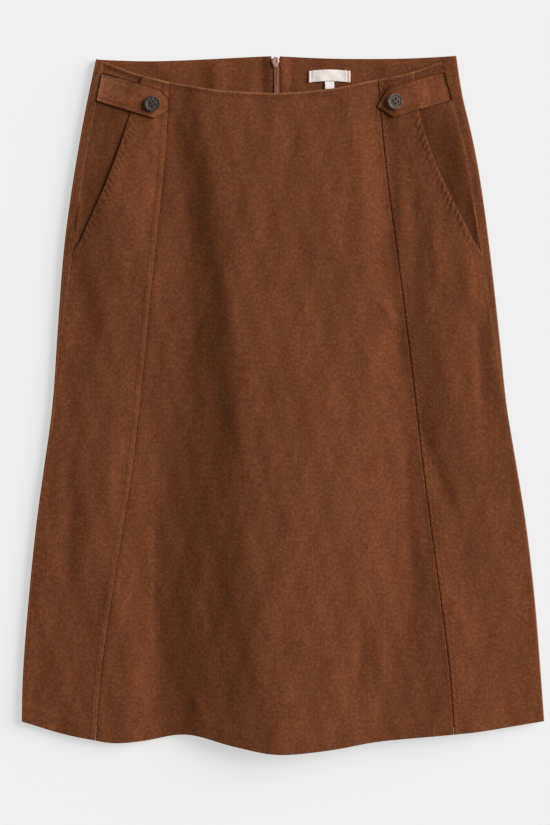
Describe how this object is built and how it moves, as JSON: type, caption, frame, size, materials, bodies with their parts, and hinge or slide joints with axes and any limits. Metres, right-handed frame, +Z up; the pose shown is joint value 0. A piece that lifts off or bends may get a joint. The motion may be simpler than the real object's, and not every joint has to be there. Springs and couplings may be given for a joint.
{
  "type": "a-line skirt, laid flat",
  "caption": "Fine-wale corduroy a-line skirt laid flat, front up, with slant pockets, buttoned waist tabs and a faced back waist with a zip.",
  "frame": {"origin": "on the surface that the skirt rests on, under the middle of its outline seen from above", "axes": "+X to the right as seen from above, +Y from hem to waist, +Z up, away from the surface; the front faces up"},
  "size_m": [0.5669, 0.757, 0.0231],
  "materials": {
    "corduroy": "fine-wale cotton corduroy, brushed pile, wales down the panels",
    "facing": "the same corduroy, right side showing inside the waist",
    "button": "polished horn-look polyester",
    "zip": "nylon coil sewn on a polyester tape",
    "slider": "dyed-to-match enamel on die-cast zinc",
    "label": "damask-woven polyester, cut and folded at the ends"
  },
  "bodies": {
    "skirt": {"front_centre": "corduroy", "side_front_left": "corduroy", "side_front_right": "corduroy", "pocket_back_left": "corduroy", "pocket_back_right": "corduroy", "back_left": "corduroy", "back_right": "corduroy", "facing_left": "facing", "facing_right": "facing", "tab_left": "corduroy", "tab_right": "corduroy", "button_left": "button", "button_right": "button", "zip_chain": "zip", "zip_slider": "slider", "label_main": "label", "label_size": "label"},
    "zip_pull": {"zip_pull": "slider"}
  },
  "joints": [
    {"name": "pull_swing", "type": "hinge", "parent": "skirt", "child": "zip_pull", "pos_m": [-0.0073, 0.3713, 0.00165], "axis": [1, 0, 0], "range_deg": [0, 175]}
  ]
}
